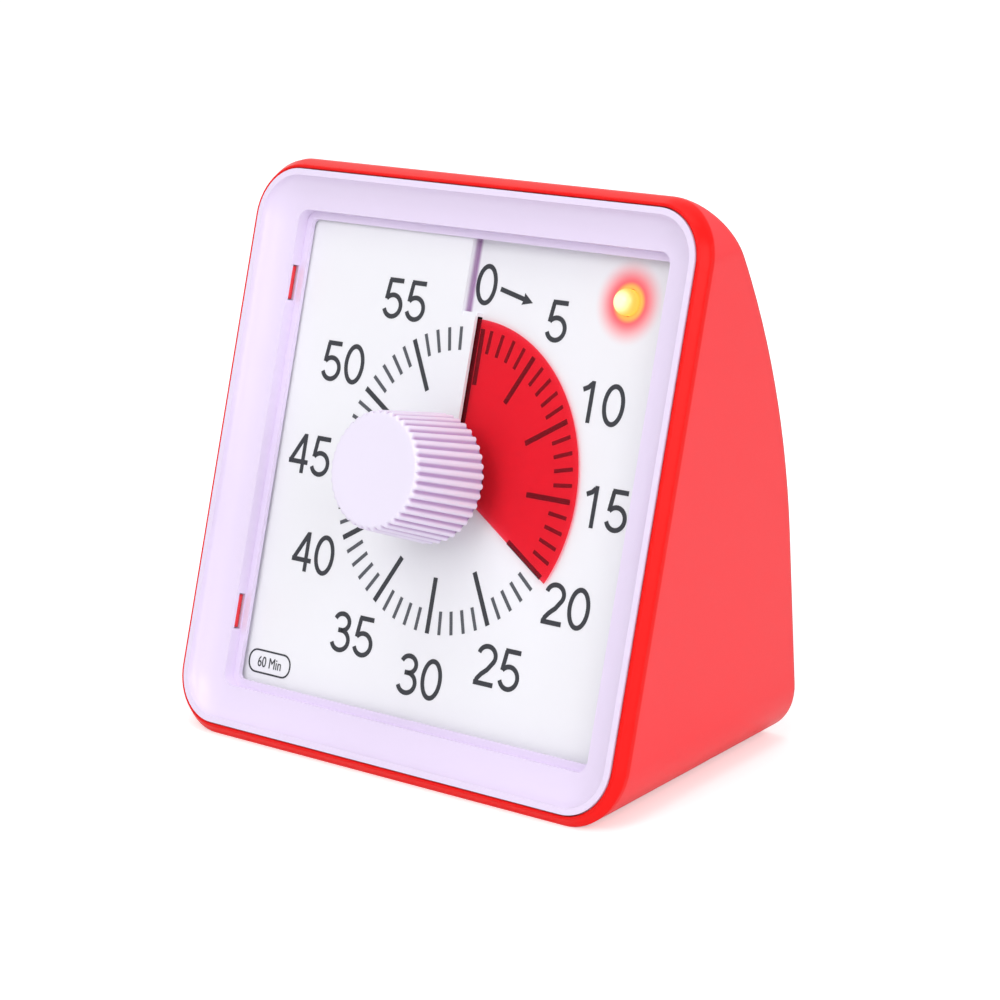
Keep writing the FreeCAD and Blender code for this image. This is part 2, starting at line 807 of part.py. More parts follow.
def switch_can():
    rear = back_y - wall
    seat = rear - slider_plate_depth()
    low_z = switch_z - switch_half_z
    high_z = switch_z + switch_half_z
    core = box((-switch_half, seat - switch_depth, low_z), (switch_half, seat, high_z))
    ears = []
    for side in (-1, 1):
        ends = sorted((side * (switch_half - 1.3), side * switch_half))
        ears.append(box((ends[0], seat, low_z), (ends[1], rear - switch_ease, high_z)))
    return core.fuse(ears)


def slider_plate_depth():
    return 1.4


def mode_slider():
    rear = back_y - wall
    seat = rear - slider_plate_depth()
    z = switch_z
    plate = box((-slider_half, seat + 0.3, z - slider_half_z), (slider_half, rear - 0.3, z + slider_half_z))
    stem = box((-stem_half, rear - 0.4, z - stem_half_z), (stem_half, back_y - 0.2, z + stem_half_z))
    grooves = []
    for index in (-1, 0, 1):
        x = index * 1.1
        grooves.append(box((x - 0.2, back_y - 0.5, switch_z - 2), (x + 0.2, back_y, switch_z + 2)))
    return plate.fuse(stem).cut(grooves)


def cell(z, side):
    # An AAA cell lying along X, its raised end towards the side given.
    tip = side * (bay_half - contact_thick)
    length = cell_length - nub_length
    base = Part.makeCylinder(cell_r, length, V(tip - side * cell_length, cell_y, z), V(side, 0, 0))
    root = tip - side * (nub_length + 0.1)
    nub = Part.makeCylinder(nub_r, nub_length + 0.1, V(root, cell_y, z), V(side, 0, 0))
    return base.fuse(nub)


def leaf(side, z):
    # A bent strip that presses on a cell's flat end.
    root = side * (bay_half - contact_thick)
    tip = side * (bay_half - contact_thick - (2 * bay_half - 2 * contact_thick - cell_length) + 0.1)
    inner = tip + side * contact_thick
    points = [
        (root, z - 4.0),
        (tip, z - 0.5),
        (tip, z + 0.5),
        (root, z + 4.0),
        (root, z + 3.5),
        (inner, z + 0.3),
        (inner, z - 0.3),
        (root, z - 3.5),
        (root, z - 4.0),
    ]
    outline = Part.makePolygon([V(x, cell_y - contact_width / 4, height) for x, height in points])
    return Part.Face(outline).extrude(V(0, contact_width / 2, 0))


def contact_plate(side, low, high, y_low, y_high):
    ends = sorted((side * (bay_half - contact_thick), side * bay_half))
    return box((ends[0], y_low, low), (ends[1], y_high, high))


def contact_positive():
    tab_top = bay_roof_z + tab_rise
    return contact_plate(1, upper_cell_z - 4.5, tab_top, cell_y - 2.0, cell_y + contact_width / 2)


def contact_negative():
    tab_top = bay_roof_z + tab_rise
    pad = contact_plate(1, lower_cell_z - 4.5, lower_cell_z + 4.5, cell_y - 4.5, cell_y + contact_width / 2)
    arm = contact_plate(1, lower_cell_z, tab_top, cell_y - 4.5, cell_y - 3.0)
    return pad.fuse([arm, leaf(1, lower_cell_z)])


def contact_bridge():
    half = contact_width / 2
    pad = contact_plate(-1, lower_cell_z - 4.5, upper_cell_z + 4.5, cell_y - half, cell_y + half)
    return pad.fuse(leaf(-1, upper_cell_z))


def battery_door():
    plate = box((-door_half, back_y - door_thick, door_axis_z), (door_half, back_y, door_top_z))
    barrel = Part.makeCylinder(
        door_thick / 2 + 0.1, 2 * door_half, V(-door_half, door_axis_y, door_axis_z), V(1, 0, 0)
    )
    pins = Part.makeCylinder(
        door_pin_r,
        2 * (door_half + door_pin_length),
        V(-door_half - door_pin_length, door_axis_y, door_axis_z),
        V(1, 0, 0),
    )
    notch = Part.makeCylinder(6, 3, V(0, back_y - 0.8, door_top_z + 2.5), V(0, 1, 0))
    ribs = []
    for index in range(4):
        z = door_top_z - 7 - 2 * index
        ribs.append(box((-6, back_y - 0.4, z - 0.3), (6, back_y + 1, z + 0.3)))
    return plate.fuse([barrel, pins]).cut([notch] + ribs).removeSplitter()


def battery_lead_red():
    # From the upper contact's tab over the bay's front edge to the board.
    u = bay_half - contact_thick - lead_r
    tab = V(u, cell_y, bay_roof_z + 0.7)
    over = V(u + 0.2, bay_low_y - 2.1, bay_roof_z + 1.05)
    pad = at(u + 0.2, -12.0, board_front - board_thick - lead_lift)
    return lead([tab, tab + V(-0.1, -3, 2), over, pad], 2.0)


def battery_lead_black():
    u = bay_half - contact_thick - lead_r
    tab = V(u, cell_y - 3.6, bay_roof_z + 0.7)
    over = V(u - 3.8, bay_low_y - 2.6, bay_roof_z + 1.0)
    pad = at(u - 3.8, -11.0, board_front - board_thick - lead_lift)
    return lead([tab, tab + V(-2.0, -1.6, 1.6), over, pad], 1.4)


def motor_lead():
    # From the motor across the back of the movement to the board.
    points = [
        at(idler_u + motor_r + 0.2, rotor_v, case_back - motor_thick / 2),
        at(0.0, 14.0, case_back - 2.2),
        at(case_high_u - 5.0, 16.0, case_back - 2.2),
        at(board_low_u - 0.5, 17.5, case_back - 1.0),
        at(board_low_u + 2.5, 17.0, board_front - board_thick - lead_lift),
    ]
    return lead(points, 1.6)


def switch_lead():
    seat = back_y - wall - slider_plate_depth() - switch_depth
    points = [
        V(4.0, seat - lead_lift / 2, switch_z),
        V(6.0, seat - 3.7, switch_z + 2.0),
        V(12.0, seat - 5.9, switch_z + 3.0),
        V(board_low_u + 1.0, seat - 8.0, switch_z + 3.0),
        at(board_low_u + 2.0, -5.0, board_front - board_thick - lead_lift),
    ]
    return lead(points, 1.2)


def save(name, shape):
    if isinstance(shape, list):
        shape = Part.makeCompound(shape)
    shape.exportStep("parts/" + name + ".step")
    good = shape.isValid()
    print(name, "solids", len(shape.Solids), "volume", round(shape.Volume, 1), "" if good else "NOT VALID")


def main():
    os.makedirs("parts", exist_ok=True)
    faced = {
        "front_bezel": front_bezel,
        "dial_plate": dial_plate,
        "mid_frame": mid_frame,
        "movement_cover": movement_cover,
        "movement_case": movement_case,
        "motor_can": motor_can,
        "motor_coil": motor_coil,
        "motor_rotor": motor_rotor,
        "idler_gear": idler_gear,
        "idler_pin": idler_pin,
        "drive_wheel": drive_wheel,
        "clutch_washer": clutch_washer,
        "shaft_bush": shaft_bush,
        "arbor": arbor,
        "knob": knob,
        "red_film": red_film,
        "film_hub": film_hub,
        "circuit_board": circuit_board,
        "controller_chip": controller_chip,
        "timing_crystal": timing_crystal,
        "led_lens": led_lens,
        "buzzer_shell": buzzer_shell,
        "buzzer_disc": buzzer_disc,
    }
    for name, make in faced.items():
        save(name, face(make()))
    save("board_passives", [face(block) for block in board_passives()])
    save("led_leads", [face(leg) for leg in led_leads()])
    save("frame_screws", [face(one) for one in screws(frame_screw_places(), frame_back, bezel_seat)])
    board_seat = board_front - board_thick
    save("board_screws", [face(one) for one in screws(board_screw_places(), board_seat, frame_back)])
    save("case_screws", [face(one) for one in screws(case_screw_places(), case_back, frame_back + 1)])
    save("rear_housing", rear_housing())
    save("battery_door", battery_door())
    save("switch_can", switch_can())
    save("mode_slider", mode_slider())
    save("battery_upper", cell(upper_cell_z, 1))
    save("battery_lower", cell(lower_cell_z, -1))
    save("contact_positive", contact_positive())
    save("contact_negative", contact_negative())
    save("contact_bridge", contact_bridge())
    save("battery_lead_red", battery_lead_red())
    save("battery_lead_black", battery_lead_black())
    save("motor_lead", motor_lead())
    save("switch_lead", switch_lead())


main()
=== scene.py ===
import json
import math

import bmesh
import bpy
import numpy as np
from mathutils import Matrix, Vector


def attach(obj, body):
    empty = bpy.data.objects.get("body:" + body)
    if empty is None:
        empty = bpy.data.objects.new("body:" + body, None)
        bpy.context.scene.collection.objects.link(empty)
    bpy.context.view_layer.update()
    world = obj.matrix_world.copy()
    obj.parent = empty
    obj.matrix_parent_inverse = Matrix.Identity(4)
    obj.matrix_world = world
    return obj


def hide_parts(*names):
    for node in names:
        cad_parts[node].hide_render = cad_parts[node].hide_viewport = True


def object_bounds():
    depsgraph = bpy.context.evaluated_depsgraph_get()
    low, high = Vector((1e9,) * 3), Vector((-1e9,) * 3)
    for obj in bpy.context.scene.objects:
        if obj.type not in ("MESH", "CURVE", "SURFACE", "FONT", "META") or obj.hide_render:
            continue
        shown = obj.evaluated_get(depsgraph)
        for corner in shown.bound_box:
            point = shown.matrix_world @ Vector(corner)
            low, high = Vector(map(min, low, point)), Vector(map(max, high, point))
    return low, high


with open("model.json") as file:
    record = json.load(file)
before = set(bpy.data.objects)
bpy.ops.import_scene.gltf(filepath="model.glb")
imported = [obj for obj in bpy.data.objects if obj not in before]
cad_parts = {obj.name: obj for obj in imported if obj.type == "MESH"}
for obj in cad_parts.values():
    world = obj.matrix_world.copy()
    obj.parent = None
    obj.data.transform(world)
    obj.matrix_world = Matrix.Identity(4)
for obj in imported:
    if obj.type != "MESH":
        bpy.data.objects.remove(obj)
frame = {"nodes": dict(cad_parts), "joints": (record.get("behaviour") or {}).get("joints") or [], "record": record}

bl_info = {
    "name": "Visual Countdown Timer",
    "version": (1, 0, 0),
    "blender": (4, 5, 0),
    "location": "View3D > Sidebar > Timer",
    "description": "Dresses the packed timer: ribbed knob, printed dial, lit lamp and moulded finishes",
    "category": "Add Mesh",
}

MM = 0.001
CAD_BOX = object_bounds()
JOINTS = {joint["name"]: joint for joint in frame["joints"]}
TURN = JOINTS["knob_turn"]

# The face frame: u to the right, v up the face, w out of it, with its zero on the dial's middle. The knob's
# joint is marked a little above the dial on the same axis.
FACE_W = -np.array(TURN["axis"], float)
FACE_U = np.array((1.0, 0.0, 0.0))
FACE_V = np.cross(FACE_W, FACE_U)
TURN_MARK_LIFT = 8.0 * MM
FACE_ORIGIN = np.array(TURN["pos_m"], float) - TURN_MARK_LIFT * FACE_W

# The dial sheet climbs by RISE in one clockwise turn; right of the jog it stays at the low edge.
RISE = 1.47 * MM
JOG_U = 2.7 * MM
JOG_V = 23.2 * MM
LAMP_U = 26.0 * MM
LAMP_V = 27.9 * MM

# The camera stands in the face frame, in metres; its right and up sides are directions there.
CAMERA_PLACE = (0.3250, 0.0107, 0.3594)
CAMERA_RIGHT = (0.738, 0.1628, -0.6549)
CAMERA_UP = (-0.1388, 0.9863, 0.0889)
CAMERA_LENS_MM = 124.9
CAMERA_SENSOR_MM = 36.0

# Name, place in metres, width in metres and power in watts of each light.
LIGHTS = (
    ("key", (0.10, -1.10, 1.00), 0.8, 5.1),
    ("fill", (0.85, -0.25, 0.45), 0.7, 3.3),
    ("top", (0.0, -0.1, 1.0), 0.7, 2.2),
)

# The floor reaches this far each way, in metres, and glows a little to the camera alone.
FLOOR_HALF = 4.0
FLOOR_LIFT = 0.40

# Strength of the white surroundings as a light, and as the camera and reflections see them.
WORLD_LIGHT = 0.55
WORLD_SEEN = 1.0


def on_face(u, v, w):
    """Points of the face frame in the object's frame: origin + u, v and w along the face's axes."""
    u, v, w = np.broadcast_arrays(u, v, w)
    return FACE_ORIGIN + u[..., None] * FACE_U + v[..., None] * FACE_V + w[..., None] * FACE_W


def dial_height(u, v):
    """Height of the dial sheet: RISE times the clockwise share of a turn from twelve o'clock.

    Between the slit's two parts, above the jog, the sheet stays at its low edge.
    """
    share = (np.arctan2(u, v) / (2 * np.pi)) % 1.0
    low = (u <= 0) & (u > -JOG_U) & (v > JOG_V)
    return np.where(low, 0.0, RISE * share)


def grid_mesh(name, points, looped=False):
    """A closed mesh from rings of points, shape (rings, points, 3), each ring's last point joined to its first.

    Looped, the last ring joins the first one. Otherwise the first and last rings are single points, of which
    one copy is kept, and triangles fan out from them.
    """
    rings, count = points.shape[:2]
    index = np.arange(rings * count).reshape(rings, count)
    points = points.reshape(-1, 3)
    if looped:
        index = np.concatenate([index, index[:1]])
    else:
        index = np.clip(index - (count - 1), 0, (rings - 2) * count + 1)
        points = points[count - 1:1 - count]
    right = np.roll(index, -1, axis=1)
    quads = np.stack([index[:-1], right[:-1], right[1:], index[1:]], axis=-1)
    if looped:
        faces = quads.reshape(-1, 4).tolist()
    else:
        faces = quads[0, :, 1:].tolist() + quads[1:-1].reshape(-1, 4).tolist() + quads[-1, :, :3].tolist()
    mesh = bpy.data.meshes.new(name)
    mesh.from_pydata(points.tolist(), [], faces)
    return mesh


def need_nodes(*names):
    """Stops an operator with an error when the frame lacks a node that it works on."""
    missing = [name for name in names if name not in frame["nodes"]]
    if missing:
        raise RuntimeError("the frame lacks " + ", ".join(missing))


def add_piece(name, mesh, body, smooth=True):
    """Links a mesh as a piece that rides on a body and takes a slot's finish."""
    mesh.update()
    if smooth:
        mesh.polygons.foreach_set("use_smooth", np.ones(len(mesh.polygons), bool))
    piece = bpy.data.objects.new(name, mesh)
    bpy.context.scene.collection.objects.link(piece)
    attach(piece, body)
    return piece


class TimerSizes(bpy.types.PropertyGroup):
    """Sizes of the visible pieces, in metres."""

    knob_low: bpy.props.FloatProperty(
        name="Knob Foot",
        description="Height of the knob's lower edge",
        default=4.5 * MM,
        subtype="DISTANCE",
    )
    knob_high: bpy.props.FloatProperty(
        name="Knob Front",
        description="Height of the knob's flat front",
        default=16.9 * MM,
        subtype="DISTANCE",
    )
    knob_base: bpy.props.FloatProperty(
        name="Knob Base",
        description="Radius over the ribs at the foot",
        default=9.2 * MM,
        subtype="DISTANCE",
    )
    knob_top: bpy.props.FloatProperty(
        name="Knob Top",
        description="Radius over the ribs at the front",
        default=8.3 * MM,
        subtype="DISTANCE",
    )
    knob_rim: bpy.props.FloatProperty(
        name="Knob Rim",
        description="Radius of the round at the front edge",
        default=0.75 * MM,
        subtype="DISTANCE",
    )
    knob_ribs: bpy.props.IntProperty(
        name="Knob Ribs",
        description="Ribs round the knob",
        default=40,
    )
    rib_depth: bpy.props.FloatProperty(
        name="Rib Depth",
        description="Depth of the grooves between ribs",
        default=0.5 * MM,
        subtype="DISTANCE",
    )
    lamp_r: bpy.props.FloatProperty(
        name="Lamp Radius",
        description="Radius of the lamp's lens",
        default=1.82 * MM,
        subtype="DISTANCE",
    )
    lamp_low: bpy.props.FloatProperty(
        name="Lamp Foot",
        description="Height of the lens's foot",
        default=-0.4 * MM,
        subtype="DISTANCE",
    )
    lamp_side: bpy.props.FloatProperty(
        name="Lamp Side",
        description="Height where the lens's dome starts",
        default=0.9 * MM,
        subtype="DISTANCE",
    )
    lamp_dome: bpy.props.FloatProperty(
        name="Lamp Dome",
        description="Height of the lens's dome",
        default=1.5 * MM,
        subtype="DISTANCE",
    )
    print_lift: bpy.props.FloatProperty(
        name="Print Lift",
        description="Gap between the dial and a print",
        default=0.01 * MM,
        subtype="DISTANCE",
    )
    print_thick: bpy.props.FloatProperty(
        name="Print Thickness",
        description="Thickness of the printed ink",
        default=0.04 * MM,
        subtype="DISTANCE",
    )
    tick_outer: bpy.props.FloatProperty(
        name="Tick Outer Radius",
        description="Outer end of every tick",
        default=21.6 * MM,
        subtype="DISTANCE",
    )
    tick_short: bpy.props.FloatProperty(
        name="Short Tick Radius",
        description="Inner end of a minute tick",
        default=18.3 * MM,
        subtype="DISTANCE",
    )
    tick_long: bpy.props.FloatProperty(
        name="Long Tick Radius",
        description="Inner end of a five-minute tick",
        default=13.7 * MM,
        subtype="DISTANCE",
    )
    tick_thin: bpy.props.FloatProperty(
        name="Short Tick Width",
        description="Width of a minute tick",
        default=0.54 * MM,
        subtype="DISTANCE",
    )
    tick_wide: bpy.props.FloatProperty(
        name="Long Tick Width",
        description="Width of a five-minute tick",
        default=0.74 * MM,
        subtype="DISTANCE",
    )
    number_radius: bpy.props.FloatProperty(
        name="Number Radius",
        description="Radius of the numbers' middles",
        default=27.8 * MM,
        subtype="DISTANCE",
    )
    number_height: bpy.props.FloatProperty(
        name="Number Height",
        description="Height of a digit",
        default=5.75 * MM,
        subtype="DISTANCE",
    )
    number_stroke: bpy.props.FloatProperty(
        name="Number Stroke",
        description="Width of a digit's stroke",
        default=0.68 * MM,
        subtype="DISTANCE",
    )
    number_stretch: bpy.props.FloatProperty(
        name="Number Stretch",
        description="Widening of the digits",
        default=1.3,
    )
    number_step: bpy.props.FloatProperty(
        name="Number Step",
        description="Distance between digits, as a share of their height",
        default=0.777,
    )


class TimerColours(bpy.types.PropertyGroup):
    """Colours of the visible pieces, in linear light."""

    shell_red: bpy.props.FloatVectorProperty(
        name="Housing Red",
        description="The housing and its door",
        size=3,
        subtype="COLOR",
        default=(0.93, 0.030, 0.040),
    )
    bezel_white: bpy.props.FloatVectorProperty(
        name="Bezel White",
        description="The bezel",
        size=3,
        subtype="COLOR",
        default=(0.80, 0.70, 0.90),
    )
    dial_white: bpy.props.FloatVectorProperty(
        name="Dial White",
        description="The dial sheet",
        size=3,
        subtype="COLOR",
        default=(0.87, 0.87, 0.91),
    )
    film_red: bpy.props.FloatVectorProperty(
        name="Film Red",
        description="The translucent film",
        size=3,
        subtype="COLOR",
        default=(0.95, 0.10, 0.15),
    )
    knob_white: bpy.props.FloatVectorProperty(
        name="Knob White",
        description="The knob",
        size=3,
        subtype="COLOR",
        default=(0.82, 0.76, 0.91),
    )
    # Painted shade: a deeper, darker red laid on the housing's rim round the bezel.
    rim_red: bpy.props.FloatVectorProperty(
        name="Rim Shade Red",
        description="The housing's rim round the bezel",
        size=3,
        subtype="COLOR",
        default=(0.90, 0.006, 0.005),
    )
    # Painted shade for the hollows of the knob's grooves.
    groove_lilac: bpy.props.FloatVectorProperty(
        name="Groove Shade Lilac",
        description="The knob's grooves",
        size=3,
        subtype="COLOR",
        default=(0.54, 0.38, 0.62),
    )
    slit_shade: bpy.props.FloatVectorProperty(
        name="Slit Shade",
        description="The foot of the dial's slit",
        size=3,
        subtype="COLOR",
        default=(0.42, 0.26, 0.46),
    )
    halo_red: bpy.props.FloatVectorProperty(
        name="Halo Red",
        description="The dial round the lit lamp",
        size=3,
        subtype="COLOR",
        default=(1.0, 0.11, 0.15),
    )
    ink: bpy.props.FloatVectorProperty(
        name="Ink",
        description="Numbers and long ticks",
        size=3,
        subtype="COLOR",
        default=(0.020, 0.022, 0.030),
    )
    ink_light: bpy.props.FloatVectorProperty(
        name="Light Ink",
        description="Minute ticks",
        size=3,
        subtype="COLOR",
        default=(0.075, 0.08, 0.095),
    )
    lamp_glow: bpy.props.FloatVectorProperty(
        name="Lamp Glow",
        description="Light of the lamp",
        size=3,
        subtype="COLOR",
        default=(1.0, 0.42, 0.10),
    )


def sizes():
    """The scene's sizes of the visible pieces."""
    return bpy.context.scene.timer_sizes


def colours():
    """The scene's colours of the visible pieces."""
    return bpy.context.scene.timer_colours


def moulded_group():
    """Shader group of a moulded skin: slow colour drift, fine pebble grain and drifting gloss."""
    tree = bpy.data.node_groups.get("Moulded Skin")
    if tree:
        return tree
    tree = bpy.data.node_groups.new("Moulded Skin", "ShaderNodeTree")
    face = tree.interface
    for name, kind, default in (
        ("Color", "NodeSocketColor", (0.8, 0.8, 0.8, 1.0)),
        ("Drift", "NodeSocketFloat", 0.03),
        ("Gloss Low", "NodeSocketFloat", 0.3),
        ("Gloss High", "NodeSocketFloat", 0.4),
        ("Grain Scale", "NodeSocketFloat", 2500.0),
        ("Grain Depth", "NodeSocketFloat", 0.1),
    ):
        socket = face.new_socket(name=name, in_out="INPUT", socket_type=kind)
        socket.default_value = default
    face.new_socket(name="Color", in_out="OUTPUT", socket_type="NodeSocketColor")
    face.new_socket(name="Roughness", in_out="OUTPUT", socket_type="NodeSocketFloat")
    face.new_socket(name="Normal", in_out="OUTPUT", socket_type="NodeSocketVector")
    nodes, links = tree.nodes, tree.links
    given = nodes.new("NodeGroupInput")
    result = nodes.new("NodeGroupOutput")
    place = nodes.new("ShaderNodeTexCoord")
    # One slow noise moves both the colour and the gloss.
    slow = nodes.new("ShaderNodeTexNoise")
    slow.inputs["Scale"].default_value = 45.0
    slow.inputs["Detail"].default_value = 3.0
    links.new(place.outputs["Object"], slow.inputs["Vector"])
    drifting = nodes.new("ShaderNodeHueSaturation")
    links.new(given.outputs["Color"], drifting.inputs["Color"])
    centred = math_node(nodes, links, "SUBTRACT", slow.outputs["Fac"], 0.5)
    offset = math_node(nodes, links, "MULTIPLY", centred, given.outputs["Drift"])
    links.new(math_node(nodes, links, "ADD", offset, 1.0), drifting.inputs["Value"])
    links.new(drifting.outputs["Color"], result.inputs["Color"])
    gloss = nodes.new("ShaderNodeMapRange")
    links.new(slow.outputs["Fac"], gloss.inputs["Value"])
    links.new(given.outputs["Gloss Low"], gloss.inputs["To Min"])
    links.new(given.outputs["Gloss High"], gloss.inputs["To Max"])
    links.new(gloss.outputs["Result"], result.inputs["Roughness"])
    fine = nodes.new("ShaderNodeTexNoise")
    fine.inputs["Detail"].default_value = 2.0
    links.new(place.outputs["Object"], fine.inputs["Vector"])
    links.new(given.outputs["Grain Scale"], fine.inputs["Scale"])
    bump = nodes.new("ShaderNodeBump")
    bump.inputs["Distance"].default_value = 0.05 * MM
    links.new(fine.outputs["Fac"], bump.inputs["Height"])
    links.new(given.outputs["Grain Depth"], bump.inputs["Strength"])
    links.new(bump.outputs["Normal"], result.inputs["Normal"])
    return tree


def moulded(name, colour, gloss=(0.3, 0.4), grain=(2500.0, 0.1), drift=0.03, metallic=0.0, coat=0.0):
    """A material whose colour, roughness and normal come from the moulded skin group."""
    material = bpy.data.materials.new(name)
    material.use_nodes = True
    nodes, links = material.node_tree.nodes, material.node_tree.links
    shader = nodes["Principled BSDF"]
    skin = nodes.new("ShaderNodeGroup")
    skin.node_tree = moulded_group()
    skin.inputs["Color"].default_value = (*colour, 1.0)
    skin.inputs["Drift"].default_value = drift
    skin.inputs["Gloss Low"].default_value, skin.inputs["Gloss High"].default_value = gloss
    skin.inputs["Grain Scale"].default_value, skin.inputs["Grain Depth"].default_value = grain
    links.new(skin.outputs["Color"], shader.inputs["Base Color"])
    links.new(skin.outputs["Roughness"], shader.inputs["Roughness"])
    links.new(skin.outputs["Normal"], shader.inputs["Normal"])
    shader.inputs["Metallic"].default_value = metallic
    shader.inputs["Coat Weight"].default_value = coat
    return material


def face_axis(nodes, links, axis, name):
    """Nodes for one face coordinate of the shaded point: its offset from the dial's middle along an axis."""
    place = nodes.new("ShaderNodeTexCoord")
    offset = nodes.new("ShaderNodeVectorMath")
    offset.operation = "SUBTRACT"
    offset.inputs[1].default_value = FACE_ORIGIN.tolist()
    links.new(place.outputs["Object"], offset.inputs[0])
    along = nodes.new("ShaderNodeVectorMath")
    along.operation = "DOT_PRODUCT"
    along.label = name
    along.inputs[1].default_value = axis.tolist()
    links.new(offset.outputs["Vector"], along.inputs[0])
    return along.outputs["Value"]


def away_from(nodes, links, u, v, w):
    """Nodes for the shaded point's distance from a point of the face frame."""
    place = nodes.new("ShaderNodeTexCoord")
    away = nodes.new("ShaderNodeVectorMath")
    away.operation = "DISTANCE"
    away.inputs[1].default_value = on_face(u, v, w).tolist()
    links.new(place.outputs["Object"], away.inputs[0])
    return away.outputs["Value"]


def ramp(nodes, links, value, start, end):
    """A smooth step from 0 at the start to 1 at the end."""
    step = nodes.new("ShaderNodeMapRange")
    step.interpolation_type = "SMOOTHSTEP"
    step.inputs["From Min"].default_value = start
    step.inputs["From Max"].default_value = end
    links.new(value, step.inputs["Value"])
    return step.outputs["Result"]


def math_node(nodes, links, operation, one, two):
    """A maths node whose inputs are sockets or numbers."""
    node = nodes.new("ShaderNodeMath")
    node.operation = operation
    for socket, value in zip(node.inputs, (one, two)):
        if hasattr(value, "node"):
            links.new(value, socket)
        else:
            socket.default_value = value
    return node.outputs[0]


def mixed(nodes, links, mask, one, two):
    """A colour that runs from one to two as the mask rises; each is a colour or a socket."""
    mix = nodes.new("ShaderNodeMix")
    mix.data_type = "RGBA"
    links.new(mask, mix.inputs["Factor"])
    for socket, value in ((mix.inputs["A"], one), (mix.inputs["B"], two)):
        if hasattr(value, "node"):
            links.new(value, socket)
        else:
            socket.default_value = (*value, 1.0)
    return mix.outputs["Result"]


def shader_of(material):
    """The material's surface shader."""
    return material.node_tree.nodes["Principled BSDF"]


def shell_red():
    """Red shell with painted shade: a deeper red on the rim round the bezel, where it is also less shiny; its
    moulded edges catching the light.
    """
    material = moulded("Glossy red shell", colours().shell_red, gloss=(0.28, 0.36), grain=(1800.0, 0.12))
    nodes, links = material.node_tree.nodes, material.node_tree.links
    height = face_axis(nodes, links, FACE_W, "height over the dial")
    # Painted shade: above this height the rim round the bezel takes a deeper, darker red.
    rim = ramp(nodes, links, height, 3.9 * MM, 4.3 * MM)
    shell = mixed(nodes, links, rim, colours().shell_red, colours().rim_red)
    links.new(shell, nodes["Group"].inputs["Color"])
    sheen = nodes.new("ShaderNodeMapRange")
    sheen.inputs["To Min"].default_value = 0.5
    sheen.inputs["To Max"].default_value = 0.16
    links.new(rim, sheen.inputs["Value"])
    links.new(sheen.outputs["Result"], shader_of(material).inputs["Specular IOR Level"])
    edge = nodes.new("ShaderNodeBevel")
    edge.samples = 6
    edge.inputs["Radius"].default_value = 0.7 * MM
    links.new(nodes["Group"].outputs["Normal"], edge.inputs["Normal"])
    links.new(edge.outputs["Normal"], shader_of(material).inputs["Normal"])
    return material


def bezel_white():
    """Lilac white gloss of the bezel."""
    return moulded(
        "Lilac white gloss", colours().bezel_white, gloss=(0.26, 0.36), grain=(1500.0, 0.08), coat=0.1)


def knob_white():
    """Lilac white of the knob, with painted shade: darker down in the grooves between the ribs."""
    size = sizes()
    material = moulded("Ribbed lilac white", colours().knob_white, gloss=(0.28, 0.38), grain=(1500.0, 0.06))
    nodes, links = material.node_tree.nodes, material.node_tree.links
    u = face_axis(nodes, links, FACE_U, "right of the axis")
    v = face_axis(nodes, links, FACE_V, "above the axis")
    w = face_axis(nodes, links, FACE_W, "height over the dial")
    turn = math_node(nodes, links, "ARCTAN2", u, v)
    rib_turn = math_node(nodes, links, "MULTIPLY", turn, float(size.knob_ribs))
    # Painted shade: the grooves between the ribs are darkened towards the groove colour.
    groove = ramp(nodes, links, math_node(nodes, links, "COSINE", rib_turn, 0.0), 0.3, -0.9)
    # The plain front stays clear of the painted groove shade.
    side = ramp(nodes, links, w, size.knob_high - 0.2 * MM, size.knob_high - 1.0 * MM)
    mask = math_node(nodes, links, "MULTIPLY", groove, side)
    skin = mixed(nodes, links, mask, colours().knob_white, colours().groove_lilac)
    links.new(skin, nodes["Group"].inputs["Color"])
    return material


def slit_line(nodes, links):
    """Mask of the shaded line down the slit's foot, left of the zero and above the jog."""
    u = face_axis(nodes, links, FACE_U, "right of the axis")
    v = face_axis(nodes, links, FACE_V, "above the axis")
    w = face_axis(nodes, links, FACE_W, "height over the dial")
    line = ramp(nodes, links, u, -JOG_U - 0.4 * MM, -JOG_U + 0.1 * MM)
    for edge in (
        ramp(nodes, links, u, -JOG_U + 0.8 * MM, -JOG_U + 0.2 * MM),
        ramp(nodes, links, v, JOG_V - 0.3 * MM, JOG_V),
        ramp(nodes, links, w, 1.1 * MM, 0.3 * MM),
    ):
        line = math_node(nodes, links, "MULTIPLY", line, edge)
    return line


def dial_white():
    """Satin sheet: a pool of the lamp's light round its hole and a shaded line down the slit's foot."""
    material = moulded("Satin dial sheet", colours().dial_white, gloss=(0.42, 0.5), grain=(3000.0, 0.05))
    nodes, links = material.node_tree.nodes, material.node_tree.links
    away = away_from(nodes, links, LAMP_U, LAMP_V, 0.2 * MM)
    halo = ramp(nodes, links, away, 6.2 * MM, 2.4 * MM)
    core = ramp(nodes, links, away, 3.0 * MM, 2.1 * MM)
    sheet = mixed(nodes, links, slit_line(nodes, links), colours().dial_white, colours().slit_shade)
    sheet = mixed(nodes, links, halo, sheet, colours().halo_red)
    sheet = mixed(nodes, links, core, sheet, colours().lamp_glow)
    links.new(sheet, nodes["Group"].inputs["Color"])
    glow = mixed(nodes, links, core, (0.0, 0.0, 0.0), (0.45, 0.14, 0.02))
    glow = mixed(nodes, links, halo, (0.0, 0.0, 0.0), glow)
    links.new(glow, shader_of(material).inputs["Emission Color"])
    shader_of(material).inputs["Emission Strength"].default_value = 1.0
    return material


